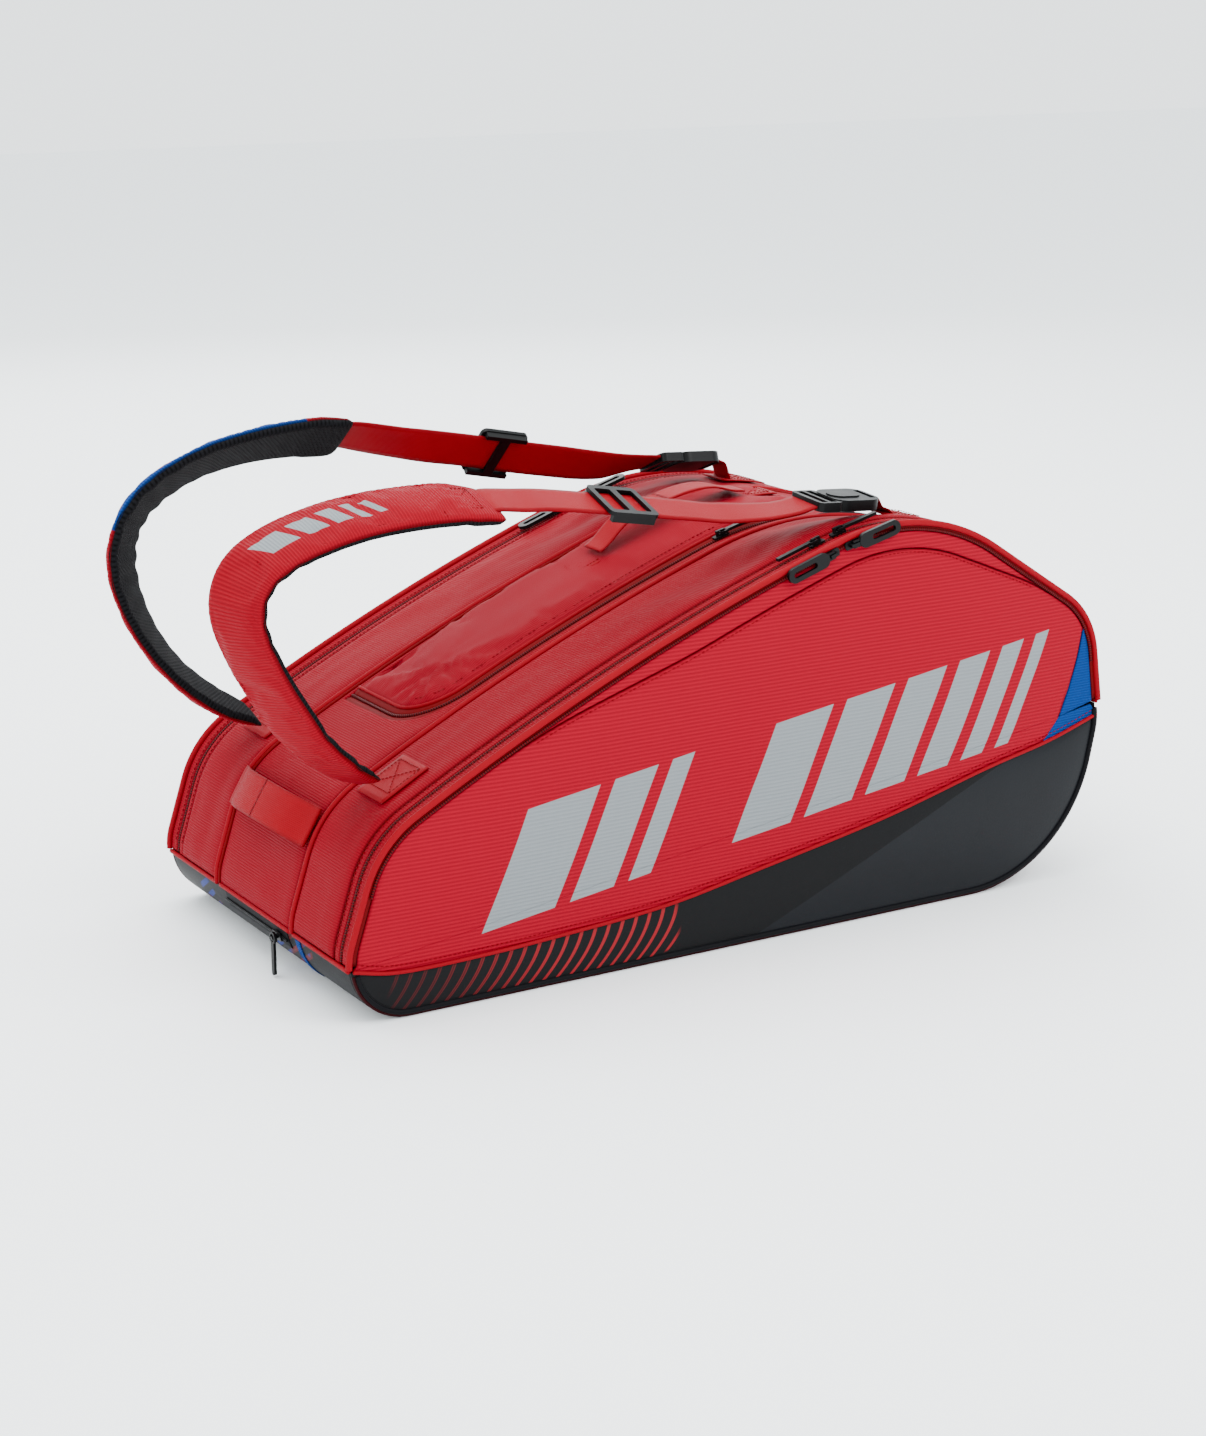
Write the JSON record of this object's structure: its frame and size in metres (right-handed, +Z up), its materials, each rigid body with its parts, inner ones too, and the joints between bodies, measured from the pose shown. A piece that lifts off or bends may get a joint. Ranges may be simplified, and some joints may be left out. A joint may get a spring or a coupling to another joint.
{
  "type": "racket tournament bag",
  "caption": "Wide racket bag with three long compartments, a padded pair of shoulder straps, a top flap with a carry handle, an outer pocket and zips with sliding pulls.",
  "frame": {"origin": "centre of the base's outer face", "axes": "+X from the handle end to the head end, -Y the front with the outer pocket, +Z up"},
  "size_m": [0.8227, 0.3661, 0.4313],
  "materials": {
    "red_fabric": "ribbed woven polyester",
    "red_piping": "fabric piping",
    "red_webbing": "flat woven webbing",
    "zip_tape": "reversed coil zip tape",
    "dark_tape": "coil zip tape",
    "dark_panel": "coated fabric, partly glossy",
    "binding": "woven edge binding",
    "blue_fabric": "ribbed woven polyester",
    "lining": "thin padded lining",
    "board": "stiffening board",
    "black_mesh": "open spacer mesh",
    "black_plastic": "moulded satin"
  },
  "bodies": {
    "shell": {"base_panel": "dark_panel", "base_board": "board", "base_binding": "binding", "front_lower_panel": "dark_panel", "rear_lower_panel": "dark_panel", "side_strips": "red_fabric", "front_gusset": "red_fabric", "rear_gusset": "red_fabric", "middle_panel": "red_fabric", "end_zip_tape": "dark_tape", "front_divider": "lining", "rear_divider": "lining", "middle_piping": "red_piping", "zip_tapes": "zip_tape", "flap_frame_tape": "zip_tape", "strap_patches": "red_fabric", "buckle_anchors": "red_webbing", "end_handle_tabs": "red_fabric"},
    "front_lid": {"front_lid_wall": "lining", "front_lid_edge": "red_fabric", "front_lid_piping": "red_piping"},
    "front_pocket": {"front_pocket_panel": "red_fabric", "corner_panel": "blue_fabric"},
    "rear_lid": {"rear_lid_panel": "red_fabric", "rear_lid_edge": "red_fabric", "rear_lid_piping": "red_piping"},
    "flap": {"flap_panel": "red_fabric", "flap_tape": "zip_tape", "handle_patches": "red_fabric"},
    "front_strap": {"front_pad": "red_fabric", "front_pad_mesh": "black_mesh", "front_webbing": "red_webbing", "front_buckle": "black_plastic"},
    "rear_strap": {"rear_pad": "red_fabric", "rear_pad_mesh": "black_mesh", "rear_webbing": "red_webbing", "rear_buckle": "black_plastic"},
    "front_slider_left": {"front_slider_left": "black_plastic"},
    "front_pull_left": {"front_pull_left": "black_plastic"},
    "front_slider_right": {"front_slider_right": "black_plastic"},
    "front_pull_right": {"front_pull_right": "black_plastic"},
    "pocket_slider_left": {"pocket_slider_left": "black_plastic"},
    "pocket_pull_left": {"pocket_pull_left": "black_plastic"},
    "pocket_slider_right": {"pocket_slider_right": "black_plastic"},
    "pocket_pull_right": {"pocket_pull_right": "black_plastic"},
    "rear_slider_left": {"rear_slider_left": "black_plastic"},
    "rear_pull_left": {"rear_pull_left": "black_plastic"},
    "rear_slider_right": {"rear_slider_right": "black_plastic"},
    "rear_pull_right": {"rear_pull_right": "black_plastic"},
    "flap_slider": {"flap_slider": "black_plastic"},
    "flap_pull": {"flap_pull": "black_plastic"},
    "top_handle": {"top_handle": "red_webbing"},
    "end_handle": {"end_handle": "red_webbing"},
    "end_slider": {"end_slider": "black_plastic"},
    "end_pull": {"end_pull": "black_plastic"},
    "front_adjuster": {"front_adjuster": "black_plastic"},
    "front_button": {"front_button": "black_plastic"},
    "rear_adjuster": {"rear_adjuster": "black_plastic"},
    "rear_button": {"rear_button": "black_plastic"}
  },
  "joints": [
    {"name": "front_lid_hinge", "type": "hinge", "parent": "shell", "child": "front_lid", "pos_m": [-0.37182, -0.178, 0.04571], "axis": [0.9888, 0, 0.149], "range_deg": [0, 70]},
    {"name": "front_pocket_hinge", "type": "hinge", "parent": "front_lid", "child": "front_pocket", "pos_m": [-0.37182, -0.178, 0.04571], "axis": [0.9888, 0, 0.149], "range_deg": [0, 20]},
    {"name": "rear_lid_hinge", "type": "hinge", "parent": "shell", "child": "rear_lid", "pos_m": [-0.37182, 0.178, 0.04571], "axis": [-0.9888, 0, -0.149], "range_deg": [0, 70]},
    {"name": "front_slider_left_run", "type": "hinge", "parent": "shell", "child": "front_slider_left", "pos_m": [0.77322, -0.161, -1.79886], "axis": [0, -1, 0], "range_deg": [0, 10]},
    {"name": "front_slider_right_run", "type": "hinge", "parent": "shell", "child": "front_slider_right", "pos_m": [0.13974, -0.161, 0.1508], "axis": [0, 1, 0], "range_deg": [0, 44]},
    {"name": "front_pull_left_pivot", "type": "hinge", "parent": "front_slider_left", "child": "front_pull_left", "pos_m": [0.069, -0.161, 0.33283], "axis": [0, 1, 0], "range_deg": [0, 115]},
    {"name": "front_pull_right_pivot", "type": "hinge", "parent": "front_slider_right", "child": "front_pull_right", "pos_m": [0.09031, -0.161, 0.33943], "axis": [0, -1, 0], "range_deg": [0, 115]},
    {"name": "rear_slider_left_run", "type": "hinge", "parent": "shell", "child": "rear_slider_left", "pos_m": [0.77322, 0.161, -1.79886], "axis": [0, -1, 0], "range_deg": [0, 8.5]},
    {"name": "rear_slider_right_run", "type": "hinge", "parent": "shell", "child": "rear_slider_right", "pos_m": [0.12488, 0.161, 0.03201], "axis": [0, 1, 0], "range_deg": [0, 46]},
    {"name": "rear_pull_left_pivot", "type": "hinge", "parent": "rear_slider_left", "child": "rear_pull_left", "pos_m": [0.01344, 0.161, 0.31366], "axis": [0, 1, 0], "range_deg": [0, 115]},
    {"name": "rear_pull_right_pivot", "type": "hinge", "parent": "rear_slider_right", "child": "rear_pull_right", "pos_m": [0.03443, 0.161, 0.3209], "axis": [0, -1, 0], "range_deg": [0, 115]},
    {"name": "pocket_slider_left_run", "type": "hinge", "parent": "front_pocket", "child": "pocket_slider_left", "pos_m": [0.77322, -0.178, -1.79886], "axis": [0, -1, 0], "range_deg": [0, 10]},
    {"name": "pocket_slider_right_run", "type": "hinge", "parent": "front_pocket", "child": "pocket_slider_right", "pos_m": [0.13974, -0.178, 0.1508], "axis": [0, 1, 0], "range_deg": [0, 44]},
    {"name": "pocket_pull_left_pivot", "type": "hinge", "parent": "pocket_slider_left", "child": "pocket_pull_left", "pos_m": [0.07195, -0.183, 0.3239], "axis": [-0.3137, 0, 0.9495], "range_deg": [0, 115]},
    {"name": "pocket_pull_right_pivot", "type": "hinge", "parent": "pocket_slider_right", "child": "pocket_pull_right", "pos_m": [0.09269, -0.183, 0.33034], "axis": [0.2535, 0, -0.9673], "range_deg": [0, 115]},
    {"name": "flap_hinge", "type": "hinge", "parent": "shell", "child": "flap", "pos_m": [0.0294, 0.062, 0.3209], "axis": [-0.9472, 0, -0.3206], "range_deg": [0, 60]},
    {"name": "flap_slider_run", "type": "hinge", "parent": "flap", "child": "flap_slider", "pos_m": [0.12488, -0.056, 0.03201], "axis": [0, 1, 0], "range_deg": [0, 10]},
    {"name": "flap_pull_pivot", "type": "hinge", "parent": "flap_slider", "child": "flap_pull", "pos_m": [0.0435, -0.056, 0.32359], "axis": [0, -1, 0], "range_deg": [0, 115]},
    {"name": "top_handle_flop", "type": "hinge", "parent": "flap", "child": "top_handle", "pos_m": [0.0327, 0.015, 0.3258], "axis": [0.9681, 0, 0.2507], "range_deg": [-20, 20]},
    {"name": "end_handle_flop", "type": "hinge", "parent": "shell", "child": "end_handle", "pos_m": [-0.34879, 0, 0.12813], "axis": [0, 1, 0], "range_deg": [-14, 14]},
    {"name": "end_slider_run", "type": "slide", "parent": "shell", "child": "end_slider", "axis": [0, 1, 0], "range_m": [0, 0.078]},
    {"name": "end_pull_pivot", "type": "hinge", "parent": "end_slider", "child": "end_pull", "pos_m": [-0.3764, -0.044, 0.03376], "axis": [1, 0, 0], "range_deg": [-80, 80]},
    {"name": "front_strap_swing", "type": "hinge", "parent": "shell", "child": "front_strap", "pos_m": [-0.31305, -0.11, 0.16985], "axis": [0.934, -0.0238, 0.3566], "range_deg": [-12, 12]},
    {"name": "front_adjuster_slide", "type": "slide", "parent": "front_strap", "child": "front_adjuster", "axis": [0.9862, 0, -0.1657], "range_m": [-0.022, 0.022]},
    {"name": "front_button_press", "type": "slide", "parent": "front_strap", "child": "front_button", "axis": [-0.0696, 0.0698, -0.9951], "range_m": [0, 0.0022], "stiffness_N_per_m": 300, "springref_m": -0.001},
    {"name": "rear_strap_swing", "type": "hinge", "parent": "shell", "child": "rear_strap", "pos_m": [-0.31305, 0.11, 0.16985], "axis": [0.9332, 0.0121, 0.3591], "range_deg": [-12, 12]},
    {"name": "rear_adjuster_slide", "type": "slide", "parent": "rear_strap", "child": "rear_adjuster", "axis": [0.9806, 0, -0.1961], "range_m": [-0.022, 0.022]},
    {"name": "rear_button_press", "type": "slide", "parent": "rear_strap", "child": "rear_button", "axis": [-0.0647, -0.3746, -0.9249], "range_m": [0, 0.0022], "stiffness_N_per_m": 300, "springref_m": -0.001}
  ]
}
